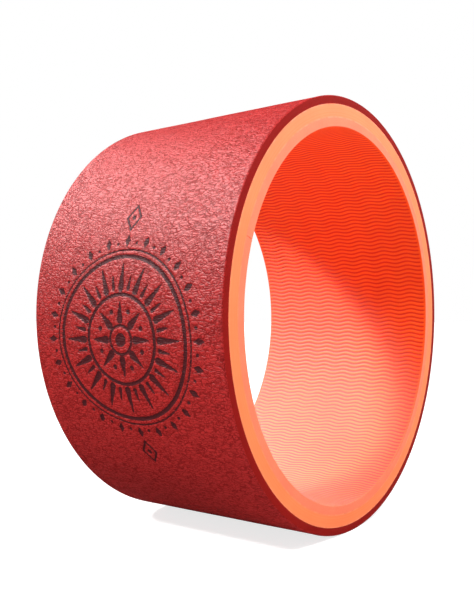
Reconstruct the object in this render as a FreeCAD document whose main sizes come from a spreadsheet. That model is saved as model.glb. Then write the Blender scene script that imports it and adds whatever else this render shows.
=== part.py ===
import FreeCAD, Part
import math
import os

import Sketcher

# A yoga wheel: a rigid ring with a foam tread wrapped round it and a ribbed foam lining inside it.
# The wheel's axis is Y, Z is up, and the origin is the wheel's centre. Lengths are in millimetres.

VALUES = {
    "wheel_width": 170.0,
    "core_diameter": 315.0,
    "core_wall": 9.2,
    "core_edge": 0.6,
    "pad_thickness": 6.0,
    "pad_edge": 0.8,
    "liner_thickness": 6.0,
    "bond_thickness": 0.3,
    "seam_gap": 0.4,
    "seam_recess": 0.4,
    "rib_count": 240,
    "groove_width": 0.88,
    "groove_depth": 1.0,
    "pad_seam_angle": 20.0,
    "liner_seam_angle": 200.0,
}
FULL_TURN = 360
AXIS = FreeCAD.Vector(0, 1, 0)

doc = FreeCAD.newDocument("yoga_wheel")

sizes = doc.addObject("Spreadsheet::Sheet", "sizes")
for row, (alias, value) in enumerate(VALUES.items(), start=1):
    sizes.set(f"A{row}", alias)
    sizes.set(f"B{row}", str(value))
    sizes.setAlias(f"B{row}", alias)
doc.recompute()

# The layers, from the core outwards and inwards.
CORE_OUT = "sizes.core_diameter / 2"
CORE_IN = f"({CORE_OUT} - sizes.core_wall)"
PAD_IN = f"({CORE_OUT} + sizes.bond_thickness)"
PAD_OUT = f"({PAD_IN} + sizes.pad_thickness)"
LINER_OUT = f"({CORE_IN} - sizes.bond_thickness)"
LINER_IN = f"({LINER_OUT} - sizes.liner_thickness)"
WIDTH = "sizes.wheel_width"
BOND_WIDTH = f"({WIDTH} - 2 * sizes.core_edge)"
GLUE_WIDTH = f"({WIDTH} - 2 * sizes.seam_recess)"

# A strip stops short of a full turn by a thin wedge, which its glue line fills.
PAD_GAP = f"(2 * atan(sizes.seam_gap / (2 * {PAD_OUT})))"
LINER_GAP = f"(2 * atan(sizes.seam_gap / (2 * {LINER_OUT})))"


def origin_plane(body, role):
    for feature in body.Origin.OriginFeatures:
        if feature.Role == role:
            return feature
    raise RuntimeError(f"{body.Name} has no {role}")


def new_body(name):
    body = doc.addObject("PartDesign::Body", name)
    body.Label = name
    return body


def new_sketch(body, name, role):
    sketch = body.newObject("Sketcher::SketchObject", name)
    sketch.AttachmentSupport = (origin_plane(body, role), [""])
    sketch.MapMode = "FlatFace"
    sketch.Visibility = False
    return sketch


def outline(sketch, corners):
    """Lines from corner to corner, closed and joined at their ends."""
    lines = []
    for first, second in zip(corners, corners[1:] + corners[:1]):
        lines.append(sketch.addGeometry(Part.LineSegment(first, second), False))
    for first, second in zip(lines, lines[1:] + lines[:1]):
        sketch.addConstraint(Sketcher.Constraint("Coincident", first, 2, second, 1))
    return lines


def measure(sketch, label, constraint, formula):
    """A named measure of a sketch, worked out from the sheet."""
    sketch.renameConstraint(sketch.addConstraint(constraint), label)
    sketch.setExpression(f"Constraints.{label}", formula)


def turned(body, inner, outer, width, sweep=None):
    """A wall between two radii, turned about the wheel's axis, all the way round or through an angle."""
    sketch = new_sketch(body, f"{body.Name}_section", "XY_Plane")
    near = sizes.core_diameter / 2
    far = near + sizes.core_wall
    side = sizes.wheel_width / 2
    corners = [
        FreeCAD.Vector(near, -side, 0),
        FreeCAD.Vector(far, -side, 0),
        FreeCAD.Vector(far, side, 0),
        FreeCAD.Vector(near, side, 0),
    ]
    low, outside, high, inside = outline(sketch, corners)
    sketch.addConstraint(Sketcher.Constraint("Horizontal", low))
    sketch.addConstraint(Sketcher.Constraint("Horizontal", high))
    sketch.addConstraint(Sketcher.Constraint("Vertical", inside))
    sketch.addConstraint(Sketcher.Constraint("Symmetric", outside, 1, outside, 2, -1))
    measure(sketch, "inner_radius", Sketcher.Constraint("DistanceX", -1, 1, inside, 1, near), inner)
    measure(sketch, "outer_radius", Sketcher.Constraint("DistanceX", -1, 1, outside, 1, far), outer)
    measure(sketch, "width", Sketcher.Constraint("DistanceY", outside, 1, outside, 2, 2 * side), width)
    ring = body.newObject("PartDesign::Revolution", f"{body.Name}_ring")
    ring.Profile = sketch
    ring.ReferenceAxis = (sketch, ["V_Axis"])
    ring.Angle = FULL_TURN
    if sweep:
        ring.setExpression("Angle", sweep)
    doc.recompute()
    return ring


def rim_edges(feature, *radii):
    """The names of the edges that run round the wheel at the given radii."""
    names = []
    for index, edge in enumerate(feature.Shape.Edges, start=1):
        if not isinstance(edge.Curve, Part.Circle):
            continue
        if any(math.isclose(edge.Curve.Radius, radius, rel_tol=1e-6) for radius in radii):
            names.append(f"Edge{index}")
    return names


def broken_edges(body, ring, size, *radii):
    """A small chamfer along the edges that run round the wheel at the given radii."""
    chamfer = body.newObject("PartDesign::Chamfer", f"{body.Name}_edges")
    chamfer.Base = (ring, rim_edges(ring, *radii))
    chamfer.setExpression("Size", size)


def seam_at(body, start, formula):
    """Turns a strip about the wheel's axis, to bring its seam where it belongs."""
    body.Placement = FreeCAD.Placement(FreeCAD.Vector(), FreeCAD.Rotation(AXIS, start))
    body.setExpression("Placement.Rotation.Angle", formula)


# The core is a length of pipe with its edges broken.
core_outer = sizes.core_diameter / 2
core_inner = core_outer - sizes.core_wall
core = new_body("core_ring")
core_tube = turned(core, CORE_IN, CORE_OUT, WIDTH)
broken_edges(core, core_tube, "sizes.core_edge", core_outer, core_inner)

# The films stop at the core's broken edges.
outer_bond = new_body("outer_bond")
turned(outer_bond, CORE_OUT, PAD_IN, BOND_WIDTH)
inner_bond = new_body("inner_bond")
turned(inner_bond, LINER_OUT, CORE_IN, BOND_WIDTH)

# The tread is eased along both of its outer edges.
pad_outer = core_outer + sizes.bond_thickness + sizes.pad_thickness
pad = new_body("outer_pad")
pad_strip = turned(pad, PAD_IN, PAD_OUT, WIDTH, f"{FULL_TURN} deg - {PAD_GAP}")
broken_edges(pad, pad_strip, "sizes.pad_edge", pad_outer)
seam_at(pad, sizes.pad_seam_angle, "sizes.pad_seam_angle")

pad_glue = new_body("pad_seam_glue")
turned(pad_glue, PAD_IN, f"{PAD_OUT} - sizes.seam_recess", GLUE_WIDTH, PAD_GAP)
seam_at(pad_glue, sizes.pad_seam_angle, f"sizes.pad_seam_angle * 1 deg - {PAD_GAP}")

# The lining's ribs are left between narrow grooves that run from end to end, half a rib clear of the seam.
liner_inner = core_inner - sizes.bond_thickness - sizes.liner_thickness
liner = new_body("inner_liner")
liner_strip = turned(liner, LINER_IN, LINER_OUT, WIDTH, f"{FULL_TURN} deg - {LINER_GAP}")

groove = new_sketch(liner, "groove_section", "XZ_Plane")
groove.AttachmentOffset = FreeCAD.Placement(
    FreeCAD.Vector(), FreeCAD.Rotation(FreeCAD.Vector(0, 0, 1), FULL_TURN / 2 / sizes.rib_count)
)
groove.setExpression("AttachmentOffset.Rotation.Angle", f"{FULL_TURN / 2} deg / sizes.rib_count")
mouth = liner_inner - sizes.groove_depth
corners = [
    FreeCAD.Vector(mouth, -sizes.groove_width, 0),
    FreeCAD.Vector(liner_inner + sizes.groove_depth, 0, 0),
    FreeCAD.Vector(mouth, sizes.groove_width, 0),
]
lower, upper, opening = outline(groove, corners)
groove.addConstraint(Sketcher.Constraint("Symmetric", opening, 1, opening, 2, -1))
measure(
    groove,
    "root_radius",
    Sketcher.Constraint("DistanceX", -1, 1, lower, 2, liner_inner + sizes.groove_depth),
    f"{LINER_IN} + sizes.groove_depth",
)
measure(
    groove,
    "mouth_radius",
    Sketcher.Constraint("DistanceX", -1, 1, opening, 1, mouth),
    f"{LINER_IN} - sizes.groove_depth",
)
measure(
    groove,
    "mouth_width",
    Sketcher.Constraint("DistanceY", opening, 2, opening, 1, 2 * sizes.groove_width),
    "2 * sizes.groove_width",
)
groove.addConstraint(Sketcher.Constraint("PointOnObject", lower, 2, -1))
groove_cut = liner.newObject("PartDesign::Pocket", "groove_cut")
groove_cut.Profile = groove
groove_cut.Type = "ThroughAll"
groove_cut.Midplane = True
ribs = liner.newObject("PartDesign::PolarPattern", "ribs")
ribs.Originals = [groove_cut]
ribs.Axis = (liner_strip.Profile[0], ["V_Axis"])
ribs.Angle = FULL_TURN
ribs.Occurrences = int(sizes.rib_count)
ribs.setExpression("Occurrences", "sizes.rib_count")
liner.Tip = ribs
seam_at(liner, sizes.liner_seam_angle, "sizes.liner_seam_angle")

liner_glue = new_body("liner_seam_glue")
turned(liner_glue, f"{LINER_IN} + sizes.seam_recess", LINER_OUT, GLUE_WIDTH, LINER_GAP)
seam_at(liner_glue, sizes.liner_seam_angle, f"sizes.liner_seam_angle * 1 deg - {LINER_GAP}")

doc.recompute()
for item in doc.Objects:
    if "Invalid" in item.State or "Error" in item.State:
        raise RuntimeError(f"{item.Name}: {item.getStatusString()}")

os.makedirs("parts", exist_ok=True)
for body in doc.findObjects("PartDesign::Body"):
    if body.Shape.isNull() or not body.Shape.isValid():
        raise RuntimeError(f"{body.Label} has no sound shape")
    body.Shape.exportStep(f"parts/{body.Label}.step")
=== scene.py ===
import math

import bmesh
import bpy
import numpy as np
from mathutils import Matrix, Vector


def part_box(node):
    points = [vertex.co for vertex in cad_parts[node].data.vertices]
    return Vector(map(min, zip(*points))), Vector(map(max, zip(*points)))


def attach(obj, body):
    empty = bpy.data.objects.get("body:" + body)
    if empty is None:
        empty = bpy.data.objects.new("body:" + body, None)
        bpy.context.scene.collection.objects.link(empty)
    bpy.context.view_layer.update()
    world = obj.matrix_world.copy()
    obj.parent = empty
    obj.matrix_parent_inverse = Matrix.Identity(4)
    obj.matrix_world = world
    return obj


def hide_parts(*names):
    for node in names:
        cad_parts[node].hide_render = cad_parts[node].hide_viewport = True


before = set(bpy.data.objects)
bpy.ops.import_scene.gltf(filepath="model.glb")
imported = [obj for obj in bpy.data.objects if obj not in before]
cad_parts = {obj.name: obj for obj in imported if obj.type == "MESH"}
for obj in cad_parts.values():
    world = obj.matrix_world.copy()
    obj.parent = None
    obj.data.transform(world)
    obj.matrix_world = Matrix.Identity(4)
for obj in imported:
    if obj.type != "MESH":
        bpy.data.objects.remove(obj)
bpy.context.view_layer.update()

bl_info = {
    "name": "Yoga Wheel",
    "version": (1, 0, 0),
    "blender": (4, 5, 0),
    "location": "View3D > Sidebar > Yoga Wheel",
    "description": "Builds a foam-covered yoga wheel with a ribbed lining on its solid core",
    "category": "Add Mesh",
}

PICTURE_HEIGHT = 616
SENSOR_MM = 36.0
NEAREST_SEEN = 0.01
MILLIMETRE = 0.001
FULL_TURN = 2.0 * math.pi
WHEEL_CENTRE = (0.0, 0.0, 0.0)
WHEEL_AXIS = (0.0, 1.0, 0.0)

# Sizes read from the frame are in metres, and are kept to a hundredth of a millimetre.
FRAME_DIGITS = 5
# Vertices closer than this, in metres, count as being in one place.
SAME_PLACE = 1e-6
# Added to a turn, in radians, so that a vertex at a strip's start isn't taken for one a full turn on.
START_GUARD = 1e-7
# A spin's steps are each divided by this many cuts once the spin is made.
STEP_CUTS = 9
# Steps of the spin that makes a ring of glue.
GLUE_STEPS = 24
# Edges that turn by more than this, in degrees, stay sharp on foam and on glue.
FOAM_SHARP = 50.0
GLUE_SHARP = 30.0
# A face is part of the wheel's end where its normal lies this much along the axis.
END_FACING = 0.9


def vertex_places(mesh):
    places = np.empty(len(mesh.vertices) * 3)
    mesh.vertices.foreach_get("co", places)
    return places.reshape(-1, 3)


def turned_radii(node):
    """The inside and outside radius of one of the frame's turned pieces."""
    places = vertex_places(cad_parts[node].data)
    reach = np.hypot(places[:, 0], places[:, 2])
    return round(float(reach.min()), FRAME_DIGITS), round(float(reach.max()), FRAME_DIGITS)


def half_width(node):
    """How far one of the frame's pieces reaches from the wheel's middle along its axis."""
    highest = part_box(node)[1]
    return round(highest[1], FRAME_DIGITS)


CORE_INSIDE, CORE_OUTSIDE = turned_radii("core_ring")
TREAD_INSIDE, TREAD_OUTSIDE = turned_radii("outer_pad")
LINING_CREST, LINING_OUTSIDE = turned_radii("inner_liner")
WHEEL_WIDTH = 2.0 * half_width("core_ring")
BROKEN_EDGE = half_width("core_ring") - half_width("outer_bond")


def colour_property(name, description, default):
    return bpy.props.FloatVectorProperty(
        name=name, description=description, default=default, subtype="COLOR", size=3, min=0.0, max=1.0
    )


def length_property(name, description, default):
    return bpy.props.FloatProperty(
        name=name, description=description, default=default, unit="LENGTH", min=0.0, precision=5
    )


def angle_property(name, description, default):
    return bpy.props.FloatProperty(
        name=name, description=description, default=math.radians(default), subtype="ANGLE"
    )


def place_property(name, description, default):
    return bpy.props.FloatVectorProperty(
        name=name, description=description, default=default, subtype="XYZ", size=3
    )


def count_property(name, description, default):
    return bpy.props.IntProperty(name=name, description=description, default=default, min=1)


def amount_property(name, description, default):
    return bpy.props.FloatProperty(
        name=name, description=description, default=default, min=0.0, precision=3
    )


class TreadSettings(bpy.types.PropertyGroup):
    """The foam strip that is wrapped round the outside."""

    radius: length_property("Radius", "Outside radius of the wheel", TREAD_OUTSIDE)
    inside: length_property("Inside", "Radius of the strip's glued face", TREAD_INSIDE)
    width: length_property("Width", "Width of the strip", WHEEL_WIDTH)
    rounding: length_property("Rounding", "How far the outer edges are rounded", 0.0010)
    rounding_steps: count_property("Rounding steps", "Divisions of the mesh round an outer edge", 4)
    seam_angle: angle_property("Seam", "Where the strip's ends meet, turning from +X about +Y", 20.0)
    seam_gap: length_property("Seam gap", "Width of the glue line between the strip's ends", 0.0004)
    ripple: length_property("Ripple", "How far the stretched foam wavers from a true round", 0.00010)
    mark_angle: angle_property("Ornament", "Where its middle lies, turning from +X about +Y", 175.0)
    mark_reach: angle_property("Ornament reach", "Finely divided sector to each side of it", 36.0)
    mark_depth: length_property("Ornament depth", "How deep it is pressed into the foam", 0.0006)
    fine_step: length_property("Fine step", "Spacing of the mesh in the ornament", 0.0010)
    plain_step: length_property("Plain step", "Spacing of the mesh elsewhere", 0.0030)
    foam: colour_property("Foam", "Colour of the tread's skin", (0.430, 0.016, 0.015))
    # The creases' colour is painted shade: a dark red that stands in for the shade that falls in the
    # grain's creases.
    crease_shade: colour_property("Creases", "Colour in the creases of the grain", (0.10, 0.005, 0.005))
    mark: colour_property("Ornament colour", "Colour of the pressed lines", (0.065, 0.010, 0.012))
    cut: colour_property("Cut edge", "Colour of the strip's cut sides", (0.255, 0.007, 0.005))
    cut_gloss: amount_property("Cut gloss", "Gloss of the strip's cut sides", 0.04)
    pebbles: amount_property("Pebbles", "Pebbles of the grain in a metre", 500.0)
    wrinkles: amount_property("Wrinkles", "Wrinkles of the grain in a metre", 350.0)
    grain_depth: length_property("Grain depth", "Depth of the grain", 0.00015)
    bend: length_property("Bend", "How far the wrinkles wander", 0.0036)
    stretch: place_property("Stretch", "How the grain is drawn out, less being longer", (1.0, 0.42, 1.0))
    # How far the creases are turned towards that painted shade.
    crease_shade_share: amount_property("Crease share", "How far the creases take their own colour", 0.68)
    sheen: amount_property("Sheen", "Weight of the skin's coat", 0.071)
    crease_sheen: amount_property("Crease sheen", "Weight of the coat in the creases", 0.026)


class LiningSettings(bpy.types.PropertyGroup):
    """The ribbed foam strip that lines the inside."""

    crest: length_property("Crest radius", "Radius of the ribs' crests", LINING_CREST)
    outside: length_property("Outside", "Radius of the strip's glued face", LINING_OUTSIDE)
    width: length_property("Width", "Width of the strip", WHEEL_WIDTH)
    ribs: count_property("Ribs", "Ribs round the wheel", 240)
    rib_depth: length_property("Rib depth", "Depth of the grooves between the ribs", 0.0004)
    rib_end: length_property("Rib ends", "Length over which a groove runs out at each end", 0.0030)
    rib_steps: count_property("Rib steps", "Divisions of the mesh across a rib", 6)
    rib_rows: count_property("Rib rows", "Divisions of the mesh along a rib", 64)
    wave: length_property("Wave length", "Length of one wave of a rib", 0.0216)
    swing: length_property("Wave swing", "How far a rib swings to each side", 0.00085)
    seam_angle: angle_property("Seam", "Where the strip's ends meet, turning from +X about +Y", 200.0)
    seam_gap: length_property("Seam gap", "Width of the glue line between the strip's ends", 0.0004)
    foam: colour_property("Foam", "Colour of the ribs", (1.0, 0.122, 0.005))
    # The grooves' colour is painted shade: a deeper red that stands in for the shade that falls down in the
    # grooves between the ribs.
    groove: colour_property("Grooves", "Colour down in the grooves", (0.75, 0.022, 0.001))
    gloss: amount_property("Gloss", "Gloss of the ribs", 0.44)
    cut: colour_property("Cut edge", "Colour of the strip's cut sides", (0.95, 0.188, 0.086))
    cut_gloss: amount_property("Cut gloss", "Gloss of the strip's cut sides", 0.40)


class CoreSettings(bpy.types.PropertyGroup):
    """The rigid ring between the two foam strips and the glue on it."""

    plastic: colour_property("Plastic", "Colour of the core", (0.95, 0.212, 0.064))
    shade: colour_property("Shade", "Colour of the core's darker streaks", (0.90, 0.172, 0.048))
    gloss: amount_property("Gloss", "Gloss of the core", 0.22)
    cut_pitch: length_property("Cut marks", "Spacing of the fine marks left by cutting", 0.0009)
    outside: length_property("Outside", "Outside radius of the core", CORE_OUTSIDE)
    inside: length_property("Inside", "Inside radius of the core", CORE_INSIDE)
    width: length_property("Width", "Width of the core", WHEEL_WIDTH)
    edge: length_property("Broken edge", "How far the core's edges are broken", BROKEN_EDGE)
    film: length_property("Film", "Thickness of the glue films", TREAD_INSIDE - CORE_OUTSIDE)
    lap: length_property("Lap", "How far the glue laps over the edge of the core's ends", 0.00006)
    proud: length_property("Proud", "How far the glue stands proud of the core's ends", 0.00002)
    film_colour: colour_property("Film colour", "Colour of the glue films", (0.95, 0.210, 0.080))
    tread_glue: colour_property("Tread glue", "Glue in the tread's seam", (0.42, 0.020, 0.018))
    lining_glue: colour_property("Lining glue", "Glue in the lining's seam", (0.90, 0.230, 0.130))
    glue_gloss: amount_property("Glue gloss", "Gloss of the glue", 0.20)


class StageSettings(bpy.types.PropertyGroup):
    """Camera, lamps and floor."""

    azimuth: angle_property("Azimuth", "Camera's turn about the upright axis", -53.42)
    elevation: angle_property("Elevation", "Camera's tilt above the horizon", 2.40)
    distance: length_property("Distance", "Camera's distance along its view", 0.6185)
    leftward: length_property("Leftward", "Camera's move to its left", 0.0223)
    downward: length_property("Downward", "Camera's move downwards", 0.0266)
    focal: amount_property("Focal length", "In pixels of the picture", 744.4)
    shift_x: amount_property("Shift X", "Lens shift, in pixels of the picture", 2.6)
    shift_y: amount_property("Shift Y", "Lens shift, in pixels of the picture", 42.5)
    floor: colour_property("Floor", "Colour of the floor", (0.47, 0.47, 0.47))
    floor_glow: amount_property("Floor white", "White that the camera sees on the floor", 0.76)
    floor_reach: length_property("Floor reach", "How far the floor reaches from the wheel", 40.0)
    sky: amount_property("Sky", "Strength of the light from all round", 0.44)
    sun: amount_property("Sun", "Strength of the sun lamp", 3.2)
    sun_way: place_property("Sun's way", "Where the sun comes from", (-0.695, 0.546, 0.719))
    sun_spread: angle_property("Sun's spread", "How wide the sun looks", 4.5)
    sun_gloss: amount_property("Sun's gloss", "Strength of the sun in the gloss alone", 14.0)
    gloss_spread: angle_property("Gloss spread", "How wide the sun looks in the gloss", 12.0)
    top: amount_property("Top lamp", "Power of the lamp above the near end, in watts", 13.0)
    top_place: place_property("Top lamp's place", "Metres from the wheel's centre", (-0.125, -0.83, 0.99))
    top_size: length_property("Top lamp's size", "Width of the lamp above the near end", 0.25)
    front: amount_property("Front lamp", "Power of the front lamp in watts", 7.0)
    front_gloss: amount_property("Front gloss", "Power of the front lamp's gloss, in watts", 11.0)
    front_place: place_property("Front lamp's place", "Metres from the wheel's centre", (0.80, -0.92, 0.62))
    front_size: length_property("Front lamp's size", "Width of the front lamp", 0.9)
    back_gloss: amount_property("Back gloss", "Power of the gloss from behind, in watts", 46.0)
    back_place: place_property("Back gloss place", "Metres from the wheel's centre", (-0.20, 0.70, 0.82))
    back_width: length_property("Back gloss width", "Width of the lamp behind", 0.7)
    back_height: length_property("Back gloss height", "Height of the lamp behind", 0.4)
    low_gloss: amount_property("Low gloss", "Power of the gloss from low behind, in watts", 6.0)
    low_place: place_property("Low gloss place", "Metres from the wheel's centre", (0.28, 0.42, 0.20))
    low_size: length_property("Low gloss size", "Width of the lamp low behind", 0.25)


SETTINGS = {
    "wheel_tread": TreadSettings,
    "wheel_lining": LiningSettings,
    "wheel_core": CoreSettings,
    "wheel_stage": StageSettings,
}


def feed(tree, socket, value):
    """Links a socket to another, or sets it to a value."""
    if isinstance(value, bpy.types.NodeSocket):
        tree.links.new(value, socket)
    else:
        socket.default_value = value


def shader_node(tree, kind, inputs=None, **settings):
    """A node with its settings made and its inputs fed."""
    made = tree.nodes.new(kind)
    for name, value in settings.items():
        setattr(made, name, value)
    for name, value in (inputs or {}).items():
        feed(tree, made.inputs[name], value)
    return made


def maths(tree, operation, first, second=0.0):
    return shader_node(tree, "ShaderNodeMath", {0: first, 1: second}, operation=operation).outputs[0]


def vector_maths(tree, operation, first, second):
    made = shader_node(tree, "ShaderNodeVectorMath", {0: first, 1: second}, operation=operation)
    return made.outputs[0]


def remap(tree, value, low, high, to_low=0.0, to_high=1.0):
    """A smooth step from one range to another."""
    ends = {"Value": value, "From Min": low, "From Max": high, "To Min": to_low, "To Max": to_high}
    made = shader_node(tree, "ShaderNodeMapRange", ends, interpolation_type="SMOOTHSTEP")
    return made.outputs["Result"]


def fading(tree, value, width):
    """One where a value is zero, falling smoothly to zero at a width."""
    return remap(tree, value, 0.0, width, 1.0, 0.0)


def mixed(tree, share, first, second, most=1.0):
    """The first colour turned towards the second by a share, times the most that it may turn."""
    if most < 1.0:
        share = maths(tree, "MULTIPLY", share, most)
    ends = [end if isinstance(end, bpy.types.NodeSocket) else (*end, 1.0) for end in (first, second)]
    made = shader_node(tree, "ShaderNodeMix", {0: share, 6: ends[0], 7: ends[1]}, data_type="RGBA")
    return made.outputs[2]


def darker(colour, share):
    return tuple(share * channel for channel in colour)


def cloud(tree, where, scale, detail=2.0):
    made = shader_node(tree, "ShaderNodeTexNoise", {"Vector": where, "Scale": scale, "Detail": detail})
    return made.outputs


def new_group(name, inputs, outputs):
    """A node group with its sockets, and the sockets of its two end nodes."""
    group = bpy.data.node_groups.new(name, "ShaderNodeTree")
    for socket, kind in inputs:
        group.interface.new_socket(socket, in_out="INPUT", socket_type=kind)
    for socket, kind in outputs:
        group.interface.new_socket(socket, in_out="OUTPUT", socket_type=kind)
    return group, group.nodes.new("NodeGroupInput").outputs, group.nodes.new("NodeGroupOutput").inputs


# The unevenness of foam has this share of its cells' scale, and adds this much to their height.
UNEVEN_SCALE = 0.31
UNEVEN_HEIGHT = 0.8


def pores_group():
    """The fine closed cells of foam, as a height and as a mask of the cells' walls."""
    if "Foam Pores" in bpy.data.node_groups:
        return bpy.data.node_groups["Foam Pores"]
    group, given, out = new_group(
        "Foam Pores",
        [("Vector", "NodeSocketVector"), ("Scale", "NodeSocketFloat")],
        [("Height", "NodeSocketFloat"), ("Mask", "NodeSocketFloat")],
    )
    where = {"Vector": given["Vector"], "Scale": given["Scale"]}
    cells = shader_node(group, "ShaderNodeTexVoronoi", where).outputs["Distance"]
    coarse = maths(group, "MULTIPLY", given["Scale"], UNEVEN_SCALE)
    uneven = cloud(group, given["Vector"], coarse, detail=3.0)[0]
    height = maths(group, "ADD", cells, maths(group, "MULTIPLY", uneven, UNEVEN_HEIGHT))
    group.links.new(height, out["Height"])
    group.links.new(remap(group, cells, low=0.15, high=0.55), out["Mask"])
    return group


def mottle_group():
    """Slow, soft changes of tone over a moulded or foamed surface."""
    if "Soft Mottle" in bpy.data.node_groups:
        return bpy.data.node_groups["Soft Mottle"]
    group, given, out = new_group(
        "Soft Mottle",
        [("Vector", "NodeSocketVector"), ("Scale", "NodeSocketFloat")],
        [("Value", "NodeSocketFloat")],
    )
    tone = cloud(group, given["Vector"], given["Scale"], detail=4.0)[0]
    group.links.new(remap(group, tone, low=0.32, high=0.68), out["Value"])
    return group


def placed(tree, group, where, scale):
    """A group placed in a material with its own scale, in cells to a metre."""
    made = shader_node(tree, "ShaderNodeGroup", node_tree=group)
    feed(tree, made.inputs["Vector"], where)
    feed(tree, made.inputs["Scale"], scale)
    return made.outputs


def new_material(name):
    """A material, its nodes, its Principled shader's inputs, and the piece's own coordinates."""
    material = bpy.data.materials.new(name)
    material.use_nodes = True
    tree = material.node_tree
    shader = tree.nodes["Principled BSDF"].inputs
    return material, tree, shader, tree.nodes.new("ShaderNodeTexCoord").outputs["Object"]


def bumped(tree, shader, height, depth, strength=1.0):
    """Raises the surface by a height, in metres at a height of one."""
    bump = shader_node(tree, "ShaderNodeBump", {"Strength": strength, "Distance": depth, "Height": height})
    tree.links.new(bump.outputs[0], shader["Normal"])
    return bump.outputs[0]


def surfaced(tree, shader, tone, mask, roughness, gloss, over=(0.0, 1.0)):
    """Gives a shader its tone, its gloss, and a roughness between two ends over a mask's range."""
    tree.links.new(tone, shader["Base Color"])
    tree.links.new(remap(tree, mask, *over, *roughness), shader["Roughness"])
    shader["Specular IOR Level"].default_value = gloss


# The value that noise goes above and below.
NOISE_MIDDLE = 0.5


def attribute(tree, name):
    return shader_node(tree, "ShaderNodeAttribute", attribute_name=name).outputs["Fac"]


def creases(tree, where, scale, width):
    """Thin wandering lines, one where each line runs and zero away from it."""
    wander = maths(tree, "SUBTRACT", cloud(tree, where, scale, detail=1.0)[0], NOISE_MIDDLE)
    return fading(tree, maths(tree, "ABSOLUTE", wander), width)


# The grain's textures, in cells to a metre.
TREAD_MOTTLE = 22.0
PATCH_SCALE = 75.0
BEND_SCALE = 190.0
FINE_SCALE = 1100.0
# Widths of the lines between the pebbles, of the pebbles' rounded sides and of the wrinkles, in the
# textures' own values.
RIM_WIDTH = 0.12
CROWN_WIDTH = 0.36
WRINKLE_WIDTH = 0.070
# How high the fine unevenness and how deep the wrinkles are, where a pebble is one high.
FINE_HEIGHT = 0.08
WRINKLE_DEPTH = 0.8
# How strong the creases are where a patch of the skin is smoothest.
SMOOTH_PATCH = 0.86


def leather_grain(tree, where, tread):
    """The skin's grain: how deep each place lies in the creases, as a mask that later takes painted shade,
    its height, and its finest unevenness.
    """
    stretched = vector_maths(tree, "MULTIPLY", where, tread.stretch)
    wander = cloud(tree, where, BEND_SCALE)["Color"]
    bent = vector_maths(tree, "ADD", stretched, vector_maths(tree, "MULTIPLY", wander, 3 * (tread.bend,)))
    wrinkles = creases(tree, bent, tread.wrinkles, WRINKLE_WIDTH)
    pebbles = {"Vector": bent, "Scale": tread.pebbles}
    rim = shader_node(tree, "ShaderNodeTexVoronoi", pebbles, feature="DISTANCE_TO_EDGE").outputs["Distance"]
    fine = cloud(tree, bent, FINE_SCALE, detail=1.0)[0]
    patches = remap(tree, cloud(tree, where, PATCH_SCALE)[0], low=0.35, high=0.65, to_low=SMOOTH_PATCH)
    # The wrinkles and the lines between the pebbles: here the colour takes painted shade and the coat is
    # duller.
    shaded_creases = maths(tree, "MAXIMUM", wrinkles, fading(tree, rim, RIM_WIDTH))
    shaded_creases = maths(tree, "MULTIPLY", shaded_creases, patches)
    crown = remap(tree, rim, 0.0, CROWN_WIDTH)
    height = maths(tree, "ADD", crown, maths(tree, "MULTIPLY", fine, FINE_HEIGHT))
    height = maths(tree, "SUBTRACT", height, maths(tree, "MULTIPLY", wrinkles, WRINKLE_DEPTH))
    return shaded_creases, height, fine


# The grain runs out between these distances from the strip's sides, in roundings, to this share.
GRAIN_FULL = 2.0
GRAIN_OUT = 0.5
GRAIN_LEFT = 0.1
# The colour of the ornament's lines fades out between these distances from their edge, which the
# grain makes ragged, all in millimetres.
MARK_FULL_MM = -0.12
MARK_OUT_MM = 0.28
MARK_RAGGED_MM = 0.9


def tread_foam(tread):
    """Red foam with a thin wrinkled skin like leather, and the ornament pressed into it."""
    material, tree, shader, where = new_material("tread_foam")
    mottle = placed(tree, mottle_group(), where, TREAD_MOTTLE)["Value"]
    shaded_creases, height, fine = leather_grain(tree, where, tread)
    ragged = maths(tree, "MULTIPLY", maths(tree, "SUBTRACT", fine, NOISE_MIDDLE), MARK_RAGGED_MM)
    distance = maths(tree, "ADD", attribute(tree, "mark"), ragged)
    pressed = remap(tree, distance, MARK_FULL_MM, MARK_OUT_MM, 1.0, 0.0)
    # Painted shade: the skin turns towards a dark red in its creases, where shade falls.
    skin = mixed(tree, shaded_creases, tread.foam, tread.crease_shade, most=tread.crease_shade_share)
    # Soft mottle turns the skin a little towards the same dark red, at random.
    skin = mixed(tree, mottle, skin, tread.crease_shade, most=0.03)
    tree.links.new(mixed(tree, pressed, skin, tread.mark), shader["Base Color"])
    dull = maths(tree, "MAXIMUM", pressed, shaded_creases)
    tree.links.new(remap(tree, dull, 0.0, 1.0, tread.sheen, tread.crease_sheen), shader["Coat Weight"])

    side = maths(tree, "ABSOLUTE", shader_node(tree, "ShaderNodeSeparateXYZ", {0: where}).outputs["Y"])
    half = tread.width / 2.0
    full = half - GRAIN_FULL * tread.rounding
    out = half - GRAIN_OUT * tread.rounding
    height = maths(tree, "MULTIPLY", height, remap(tree, side, full, out, 1.0, GRAIN_LEFT))
    bump = bumped(tree, shader, height, tread.grain_depth)
    tree.links.new(bump, shader["Coat Normal"])
    shader["Coat Roughness"].default_value = 0.50
    shader["Coat IOR"].default_value = 2.2
    shader["Specular IOR Level"].default_value = 0.0
    shader["Roughness"].default_value = 0.60
    return material


def cut_foam(name, colour, gloss):
    """Foam where it has been cut, with its cells open."""
    material, tree, shader, where = new_material(name)
    pores = placed(tree, pores_group(), where, scale=1500.0)
    mottle = placed(tree, mottle_group(), where, scale=60.0)["Value"]
    deep = darker(colour, share=0.8)
    tone = mixed(tree, mottle, colour, deep, most=0.5)
    tone = mixed(tree, pores["Mask"], tone, deep, most=0.25)
    surfaced(tree, shader, tone, pores["Mask"], roughness=(0.66, 0.80), gloss=gloss)
    bumped(tree, shader, pores["Height"], depth=0.00012, strength=0.4)
    return material


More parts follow.
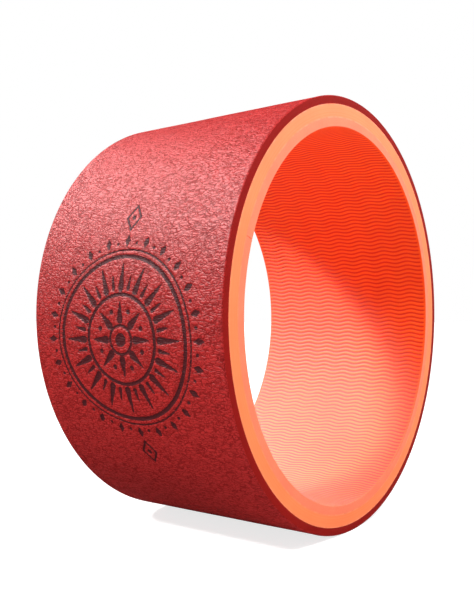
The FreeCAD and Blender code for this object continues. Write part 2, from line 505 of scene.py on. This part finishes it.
def lining_foam(lining):
    """Coral foam, with painted shade down in the grooves."""
    material, tree, shader, where = new_material("lining_foam")
    pores = placed(tree, pores_group(), where, scale=1800.0)
    mottle = placed(tree, mottle_group(), where, scale=30.0)["Value"]
    down = remap(tree, attribute(tree, "depth"), low=0.15, high=1.0)
    # Painted shade: the foam turns towards the grooves' deeper red as the groove gets deeper.
    tone = mixed(tree, down, lining.foam, lining.groove)
    tone = mixed(tree, mottle, tone, lining.groove, most=0.15)
    surfaced(tree, shader, tone, pores["Mask"], roughness=(0.70, 0.80), gloss=lining.gloss)
    bumped(tree, shader, pores["Height"], depth=0.00010, strength=0.25)
    return material


def core_plastic(core):
    """Satin orange plastic, with fine round marks where the ends were cut."""
    material, tree, shader, where = new_material("core_plastic")
    place = shader_node(tree, "ShaderNodeSeparateXYZ", {0: where}).outputs
    flat = shader_node(tree, "ShaderNodeCombineXYZ", {"X": place["X"], "Y": place["Z"]}).outputs[0]
    radius = shader_node(tree, "ShaderNodeVectorMath", {0: flat}, operation="LENGTH").outputs["Value"]
    pitch = {"W": maths(tree, "DIVIDE", radius, core.cut_pitch), "Scale": 1.0, "Detail": 3.0}
    turns = shader_node(tree, "ShaderNodeTexNoise", pitch, noise_dimensions="1D").outputs[0]
    mottle = placed(tree, mottle_group(), where, scale=35.0)["Value"]
    tone = mixed(tree, mottle, core.plastic, core.shade, most=0.45)
    tone = mixed(tree, turns, tone, core.shade, most=0.30)
    surfaced(tree, shader, tone, turns, roughness=(0.55, 0.68), gloss=core.gloss, over=(0.3, 0.7))
    bumped(tree, shader, turns, depth=0.00008, strength=0.2)
    return material


def set_glue(name, colour, gloss):
    """Glue that has set, a little uneven."""
    material, tree, shader, where = new_material(name)
    mottle = placed(tree, mottle_group(), where, scale=180.0)["Value"]
    tone = mixed(tree, mottle, colour, darker(colour, share=0.85))
    surfaced(tree, shader, tone, mottle, roughness=(0.40, 0.60), gloss=gloss)
    bumped(tree, shader, mottle, depth=0.0001, strength=0.3)
    return material


def seen_directly(tree):
    """One for what the camera sees, plainly, in a gloss or through glass, and zero for other light."""
    rays = tree.nodes.new("ShaderNodeLightPath").outputs
    mirrored = maths(tree, "MAXIMUM", rays["Is Glossy Ray"], rays["Is Transmission Ray"])
    return maths(tree, "MAXIMUM", rays["Is Camera Ray"], mirrored)


def plain_floor(stage):
    """A pale floor that looks white where it is lit and keeps the wheel's shadow."""
    material, tree, shader, _ = new_material("plain_floor")
    glow = maths(tree, "MULTIPLY", seen_directly(tree), stage.floor_glow)
    tree.links.new(glow, shader["Emission Color"])
    shader["Emission Strength"].default_value = 1.0
    shader["Base Color"].default_value = (*stage.floor, 1.0)
    shader["Roughness"].default_value = 0.9
    shader["Specular IOR Level"].default_value = 0.0
    return material


def finished(bm, name):
    """The piece's object, with its place in its mesh."""
    mesh = bpy.data.meshes.new(name)
    bm.to_mesh(mesh)
    bm.free()
    piece = bpy.data.objects.new(name, mesh)
    bpy.context.scene.collection.objects.link(piece)
    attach(piece, "root")
    return piece


def smoothed(mesh, degrees):
    mesh.shade_smooth()
    mesh.set_sharp_from_angle(angle=math.radians(degrees))


def vertex_values(mesh, name):
    """Takes a value of each vertex off the mesh."""
    values = np.empty(len(mesh.vertices), dtype=np.float32)
    mesh.attributes[name].data.foreach_get("value", values)
    mesh.attributes.remove(mesh.attributes[name])
    return values.astype(float)


def keep_values(mesh, name, values):
    mesh.attributes.new(name, "FLOAT", "POINT").data.foreach_set("value", values.astype(np.float32))


def turn_of(places):
    """Each place's turn about the wheel's axis from +X."""
    return np.arctan2(-places[:, 2], places[:, 0])


def move_round(mesh, places, turn, radius):
    """Puts each vertex at its turn and its distance from the wheel's axis."""
    places[:, 0] = radius * np.cos(turn)
    places[:, 2] = -radius * np.sin(turn)
    mesh.vertices.foreach_set("co", places.reshape(-1))
    mesh.update()


def eased(values, low, high):
    """A smooth step from zero at low to one at high."""
    share = np.clip((values - low) / (high - low), 0.0, 1.0)
    return share * share * (3.0 - 2.0 * share)


def outline(bm, section):
    """A closed line through a section's corners, each a radius and a place along the wheel's axis."""
    corners = [bm.verts.new((reach, side, 0.0)) for reach, side in section]
    for pair in zip(corners, corners[1:] + corners[:1]):
        bm.edges.new(pair)
    return corners


def spun(bm, section, start, runs, cuts, closed=False):
    """Turns a section in the XY plane about the wheel's axis, from a start through runs of steps.

    Each vertex keeps its true distance from the axis as its reach, because the cuts that
    divide each step afterwards lie on the chord. A closed turn is merged with its start.
    Returns the last copy of the section.
    """
    reach = bm.verts.layers.float.new("reach")
    for vert in bm.verts:
        vert[reach] = vert.co.x
    bmesh.ops.rotate(bm, verts=bm.verts[:], cent=WHEEL_CENTRE, matrix=Matrix.Rotation(start, 3, "Y"))
    last = section
    for turn, steps in runs:
        made = bmesh.ops.spin(
            bm, geom=last, cent=WHEEL_CENTRE, axis=WHEEL_AXIS, angle=turn, steps=steps, use_merge=closed
        )
        last = [item for item in made["geom_last"] if isinstance(item, bmesh.types.BMEdge)]
    round_edges = []
    for edge in bm.edges:
        first, second = edge.verts
        if abs(first[reach] - second[reach]) < SAME_PLACE and abs(first.co.y - second.co.y) < SAME_PLACE:
            round_edges.append(edge)
    bmesh.ops.subdivide_edges(bm, edges=round_edges, cuts=cuts, use_grid_fill=True)
    return last


def ends_marked(bm):
    """Gives the faces at the two ends of the wheel their own material."""
    bmesh.ops.recalc_face_normals(bm, faces=bm.faces[:])
    for face in bm.faces:
        if abs(face.normal.y) > END_FACING:
            face.material_index = 1


def folded(across, along, count, offset=0.0):
    """The plane folded into one of count equal sectors about the middle."""
    sector = FULL_TURN / count
    reach = np.hypot(across, along)
    turn = np.arctan2(across, along) + offset * sector
    turn = np.mod(turn + sector / 2.0, sector) - sector / 2.0
    return reach * np.cos(turn), reach * np.sin(turn)


def ring_line(across, along, radius, half):
    return np.abs(np.hypot(across, along) - radius) - half


def ray_line(out, side, start, end, half_start, half_end):
    """A straight stroke that narrows from its start to its end."""
    share = np.clip((out - start) / (end - start), 0.0, 1.0)
    half = half_start + share * (half_end - half_start)
    return np.hypot(out - start - share * (end - start), side) - half


def bead(out, side, place, radius):
    return np.hypot(out - place, side) - radius


def lozenge(out, side, place, half_long, half_wide):
    slope = math.hypot(half_long, half_wide)
    return (np.abs(out - place) * half_wide + np.abs(side) * half_long - half_long * half_wide) / slope


def lozenge_line(out, side, place, half_long, half_wide, half):
    return np.abs(lozenge(out, side, place, half_long, half_wide)) - half


def sun_ornament(across, along):
    """Distance in millimetres from the lines of a rayed sun: below zero is inside a line."""
    eight = folded(across, along, count=8)
    between_eight = folded(across, along, count=8, offset=0.5)
    sixteen = folded(across, along, count=16)
    between_sixteen = folded(across, along, count=16, offset=0.5)
    many = folded(across, along, count=24)
    between_many = folded(across, along, count=24, offset=0.5)
    above = np.abs(along)
    lines = [
        bead(across, along, place=0.0, radius=4.6),
        ring_line(across, along, radius=9.6, half=0.9),
        ray_line(*eight, start=13.5, end=25.0, half_start=2.7, half_end=0.5),
        bead(*between_eight, place=20.0, radius=1.7),
        ring_line(across, along, radius=30.0, half=1.2),
        ray_line(*sixteen, start=34.5, end=50.5, half_start=2.5, half_end=0.5),
        ray_line(*between_sixteen, start=34.5, end=42.5, half_start=1.5, half_end=0.5),
        ring_line(across, along, radius=55.5, half=1.4),
        ring_line(across, along, radius=60.0, half=0.6),
        lozenge(*many, place=66.5, half_long=4.4, half_wide=2.4),
        bead(*between_many, place=65.0, radius=1.2),
        lozenge_line(above, across, place=83.5, half_long=9.0, half_wide=6.0, half=0.8),
        bead(above, across, place=83.5, radius=1.8),
    ]
    return np.minimum.reduce(lines)


# The tread's waver is the mean of these waves, each with its number round the wheel, its radians to
# a metre along the axis, and its start.
RIPPLES = ((23.0, 60.0, 0.0), (37.0, -95.0, 0.0), (11.0, 41.0, 1.0))
# The walls of the pressed lines slope over this distance to each side of a line's edge.
MARK_WALL_MM = 0.35
# Distances from the ornament are kept up to this one.
MARK_FARTHEST_MM = 6.0


def tread_body(tread):
    """The strip of foam wrapped from its seam to its seam, finely divided where the ornament goes."""
    half = tread.width / 2.0
    bm = bmesh.new()
    section = ((tread.inside, -half), (tread.radius, -half), (tread.radius, half), (tread.inside, half))
    corners = outline(bm, section)
    bmesh.ops.bevel(
        bm,
        geom=corners[1:3],
        offset=tread.rounding,
        offset_type="OFFSET",
        segments=tread.rounding_steps,
        profile=0.5,
        affect="VERTICES",
        material=-1,
    )
    top = max(bm.edges, key=lambda edge: min(vert.co.x for vert in edge.verts))
    bmesh.ops.subdivide_edges(bm, edges=[top], cuts=int(tread.width / tread.fine_step))
    first = bm.edges[:]
    gap = tread.seam_gap / tread.radius
    before = tread.mark_angle - tread.mark_reach - tread.seam_angle
    marked = 2.0 * tread.mark_reach
    runs = []
    for turn, step in (
        (before, tread.plain_step),
        (marked, tread.fine_step),
        (FULL_TURN - gap - before - marked, tread.plain_step),
    ):
        runs.append((turn, max(1, round(turn * tread.radius / step / (STEP_CUTS + 1)))))
    last = spun(bm, first, tread.seam_angle, runs, STEP_CUTS)
    bmesh.ops.edgeloop_fill(bm, edges=first)
    bmesh.ops.edgeloop_fill(bm, edges=last)
    ends_marked(bm)
    return bm


def press_ornament(mesh, tread):
    """Rounds the tread, presses the ornament into its skin and lets the skin waver."""
    places = vertex_places(mesh)
    radius = vertex_values(mesh, "reach")
    turn = turn_of(places)
    side = places[:, 1]
    away = np.mod(turn - tread.mark_angle + math.pi, FULL_TURN) - math.pi
    distance = sun_ornament(side / MILLIMETRE, away * tread.radius / MILLIMETRE)
    waves = [np.sin(rounds * turn + sides * side + start) for rounds, sides, start in RIPPLES]
    lowered = tread.ripple * (1.0 + sum(waves) / len(waves))
    lowered += tread.mark_depth * eased(distance, MARK_WALL_MM, -MARK_WALL_MM)
    skin = radius > tread.radius - SAME_PLACE
    move_round(mesh, places, turn, np.where(skin, radius - lowered, radius))
    near = np.clip(distance, -MARK_FARTHEST_MM, MARK_FARTHEST_MM)
    keep_values(mesh, "mark", np.where(skin, near, MARK_FARTHEST_MM))


class YOGAWHEEL_OT_tread(bpy.types.Operator):
    """Wrap the foam tread round the core, with its grain, its ornament and its seam"""

    bl_idname = "yoga_wheel.tread"
    bl_label = "Tread"

    def execute(self, context):
        tread = context.scene.wheel_tread
        piece = finished(tread_body(tread), "tread")
        mesh = piece.data
        press_ornament(mesh, tread)
        smoothed(mesh, FOAM_SHARP)
        mesh.materials.append(tread_foam(tread))
        mesh.materials.append(cut_foam("tread_cut", tread.cut, tread.cut_gloss))
        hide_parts("outer_pad")
        return {"FINISHED"}


# Above one, this makes the ribs' crests broader than the grooves between them.
CREST_BREADTH = 1.3


def strip_turn(lining):
    """The turn that the lining's strip takes up, which its seam leaves short of a full one."""
    return FULL_TURN - lining.seam_gap / lining.outside


def lining_body(lining):
    """The lining's strip, still smooth inside, divided across and along each rib to come."""
    half = lining.width / 2.0
    bm = bmesh.new()
    wall = bm.edges.new([bm.verts.new((reach, -half, 0.0)) for reach in (lining.crest, lining.outside)])
    bmesh.ops.subdivide_edges(bm, edges=[wall], cuts=1)
    runs = [(strip_turn(lining), lining.ribs)]
    spun(bm, bm.edges[:], lining.seam_angle, runs, lining.rib_steps - 1)
    raised = bmesh.ops.extrude_face_region(bm, geom=bm.faces[:])["geom"]
    far = [item for item in raised if isinstance(item, bmesh.types.BMVert)]
    bmesh.ops.translate(bm, verts=far, vec=(0.0, lining.width, 0.0))
    reach = bm.verts.layers.float["reach"]
    ridges = []
    for edge in bm.edges:
        if edge.calc_length() > half and edge.verts[0][reach] < lining.crest + SAME_PLACE:
            ridges.append(edge)
    bmesh.ops.subdivide_edges(bm, edges=ridges, cuts=lining.rib_rows - 1, use_grid_fill=True)
    ends_marked(bm)
    return bm


def wave_ribs(mesh, lining):
    """Rounds the lining and sinks its grooves, which wave from side to side."""
    places = vertex_places(mesh)
    radius = vertex_values(mesh, "reach")
    turn = turn_of(places)
    side = places[:, 1]
    ridge = radius < lining.crest + SAME_PLACE
    along = np.mod(turn - lining.seam_angle + START_GUARD, FULL_TURN) / strip_turn(lining) * lining.ribs
    depth = np.where(ridge, (0.5 - 0.5 * np.cos(FULL_TURN * along)) ** CREST_BREADTH, 0.0)
    depth *= eased(lining.width / 2.0 - np.abs(side), 0.0, lining.rib_end)
    from_seam = np.minimum(along, lining.ribs - along)
    swing = lining.swing / lining.crest * np.clip(from_seam, 0.0, 1.0)
    sway = np.where(ridge, swing * np.sin(FULL_TURN * side / lining.wave), 0.0)
    move_round(mesh, places, turn + sway, radius + lining.rib_depth * depth)
    keep_values(mesh, "depth", depth)


class YOGAWHEEL_OT_lining(bpy.types.Operator):
    """Line the core with the foam strip whose ribs run across it in waves"""

    bl_idname = "yoga_wheel.lining"
    bl_label = "Lining"

    def execute(self, context):
        lining = context.scene.wheel_lining
        piece = finished(lining_body(lining), "lining")
        mesh = piece.data
        wave_ribs(mesh, lining)
        smoothed(mesh, FOAM_SHARP)
        mesh.materials.append(lining_foam(lining))
        mesh.materials.append(cut_foam("lining_cut", lining.cut, lining.cut_gloss))
        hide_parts("inner_liner")
        return {"FINISHED"}


def glue_ring(name, node, section, finish):
    """A film of glue all the way round, from its section of radius and place along the axis."""
    bm = bmesh.new()
    outline(bm, section)
    spun(bm, bm.edges[:], 0.0, [(FULL_TURN, GLUE_STEPS)], STEP_CUTS, closed=True)
    bmesh.ops.recalc_face_normals(bm, faces=bm.faces[:])
    piece = finished(bm, name)
    mesh = piece.data
    places = vertex_places(mesh)
    radius = vertex_values(mesh, "reach")
    move_round(mesh, places, turn_of(places), radius)
    smoothed(mesh, GLUE_SHARP)
    mesh.materials.append(finish)
    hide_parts(node)


class YOGAWHEEL_OT_core(bpy.types.Operator):
    """Finish the rigid core and the glue that holds the foam to it"""

    bl_idname = "yoga_wheel.core"
    bl_label = "Core and glue"

    def execute(self, context):
        core = context.scene.wheel_core
        film = set_glue("glue_film", core.film_colour, core.glue_gloss)
        half = core.width / 2.0 + core.proud
        for name, node, face, way in (
            ("tread_film", "outer_bond", core.outside, 1.0),
            ("lining_film", "inner_bond", core.inside, -1.0),
        ):
            far = face + way * core.film
            flare = face - way * (core.edge + core.lap)
            section = [
                (far, -half),
                (far, half),
                (flare, half),
                (face, half - core.edge),
                (face, core.edge - half),
                (flare, -half),
            ]
            glue_ring(name, node, section, film)
        finishes = {
            "core_ring": core_plastic(core),
            "pad_seam_glue": set_glue("tread_seam_glue", core.tread_glue, core.glue_gloss),
            "liner_seam_glue": set_glue("lining_seam_glue", core.lining_glue, core.glue_gloss),
        }
        for name, finish in finishes.items():
            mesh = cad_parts[name].data
            mesh.materials.clear()
            mesh.materials.append(finish)
        return {"FINISHED"}


def lamp(kind, name, place, **settings):
    """A lamp at a place, pointing at the wheel's centre."""
    data = bpy.data.lights.new(name, kind)
    for key, value in settings.items():
        setattr(data, key, value)
    made = bpy.data.objects.new(name, data)
    made.location = place
    made.visible_camera = False
    made.rotation_euler = Vector(place).to_track_quat("Z", "Y").to_euler()
    bpy.context.scene.collection.objects.link(made)
    return made


def disk_lamp(name, place, size, power):
    """A round lamp, of a width in metres and a power in watts."""
    return lamp("AREA", name, place, shape="DISK", size=size, energy=power)


def gloss_alone(made):
    """Lets a lamp show in glossy surfaces alone."""
    made.visible_diffuse = False


def set_floor(scene, stage):
    """A wide floor that the wheel stands on."""
    bm = bmesh.new()
    bmesh.ops.create_grid(bm, x_segments=1, y_segments=1, size=stage.floor_reach)
    bmesh.ops.translate(bm, verts=bm.verts[:], vec=(0.0, 0.0, -scene.wheel_tread.radius))
    mesh = bpy.data.meshes.new("floor")
    bm.to_mesh(mesh)
    bm.free()
    mesh.materials.append(plain_floor(stage))
    floor = bpy.data.objects.new("floor", mesh)
    scene.collection.objects.link(floor)


def set_sky(scene, stage):
    """A white surround that lights the wheel more weakly than it looks."""
    scene.world = bpy.data.worlds.new("studio")
    scene.world.use_nodes = True
    tree = scene.world.node_tree
    sky = tree.nodes["Background"].inputs
    sky["Color"].default_value = (1.0, 1.0, 1.0, 1.0)
    tree.links.new(remap(tree, seen_directly(tree), 0.0, 1.0, stage.sky, 1.0), sky["Strength"])


def set_lamps(stage):
    """A sun, a lamp above, a lamp in front, and lamps for the gloss alone."""
    lamp("SUN", "sun_lamp", stage.sun_way, energy=stage.sun, angle=stage.sun_spread)
    disk_lamp("top_lamp", stage.top_place, stage.top_size, stage.top)
    disk_lamp("front_lamp", stage.front_place, stage.front_size, stage.front)
    gloss_alone(lamp("SUN", "sun_gloss", stage.sun_way, energy=stage.sun_gloss, angle=stage.gloss_spread))
    gloss_alone(disk_lamp("front_gloss", stage.front_place, stage.front_size, stage.front_gloss))
    back_shape = {"shape": "RECTANGLE", "size": stage.back_width, "size_y": stage.back_height}
    gloss_alone(lamp("AREA", "back_gloss", stage.back_place, energy=stage.back_gloss, **back_shape))
    gloss_alone(disk_lamp("low_gloss", stage.low_place, stage.low_size, stage.low_gloss))


def facing(azimuth, elevation):
    """The directions to the right, up and back of a camera that looks level or down at the wheel."""
    right = Vector((math.cos(azimuth), math.sin(azimuth), 0.0))
    out = math.cos(elevation)
    back = Vector((math.sin(azimuth) * out, -math.cos(azimuth) * out, math.sin(elevation)))
    return right, back.cross(right), back


def set_camera(scene, stage):
    """The camera, at the photograph's viewing angle and with its framing."""
    data = bpy.data.cameras.new("camera")
    data.sensor_width = SENSOR_MM
    data.lens = stage.focal / PICTURE_HEIGHT * SENSOR_MM
    data.shift_x = stage.shift_x / PICTURE_HEIGHT
    data.shift_y = stage.shift_y / PICTURE_HEIGHT
    data.clip_start = NEAREST_SEEN
    right, up, back = facing(stage.azimuth, stage.elevation)
    place = back * stage.distance - right * stage.leftward - up * stage.downward
    camera = bpy.data.objects.new("camera", data)
    camera.matrix_world = Matrix.Translation(place) @ Matrix((right, up, back)).transposed().to_4x4()
    scene.collection.objects.link(camera)
    scene.camera = camera
    scene.view_settings.view_transform = "Standard"


class YOGAWHEEL_OT_stage(bpy.types.Operator):
    """Set the floor, the lamps and the camera"""

    bl_idname = "yoga_wheel.stage"
    bl_label = "Stage"

    def execute(self, context):
        scene = context.scene
        stage = scene.wheel_stage
        set_floor(scene, stage)
        set_sky(scene, stage)
        set_lamps(stage)
        set_camera(scene, stage)
        return {"FINISHED"}


class YOGAWHEEL_PT_panel(bpy.types.Panel):
    """Sizes, colours and steps of the yoga wheel"""

    bl_idname = "YOGAWHEEL_PT_panel"
    bl_label = "Yoga Wheel"
    bl_space_type = "VIEW_3D"
    bl_region_type = "UI"
    bl_category = "Yoga Wheel"

    def draw(self, context):
        for name, settings in SETTINGS.items():
            box = self.layout.box()
            for key in settings.__annotations__:
                box.prop(getattr(context.scene, name), key)
        for operator in OPERATORS:
            self.layout.operator(operator.bl_idname)


OPERATORS = (YOGAWHEEL_OT_stage, YOGAWHEEL_OT_core, YOGAWHEEL_OT_lining, YOGAWHEEL_OT_tread)
CLASSES = (*SETTINGS.values(), *OPERATORS, YOGAWHEEL_PT_panel)


def register():
    for kind in CLASSES:
        bpy.utils.register_class(kind)
    for name, settings in SETTINGS.items():
        setattr(bpy.types.Scene, name, bpy.props.PointerProperty(type=settings))


def unregister():
    for name in SETTINGS:
        delattr(bpy.types.Scene, name)
    for kind in reversed(CLASSES):
        bpy.utils.unregister_class(kind)


def main():
    register()
    bpy.ops.yoga_wheel.stage()
    bpy.ops.yoga_wheel.core()
    bpy.ops.yoga_wheel.lining()
    bpy.ops.yoga_wheel.tread()


if __name__ == "__main__":
    main()
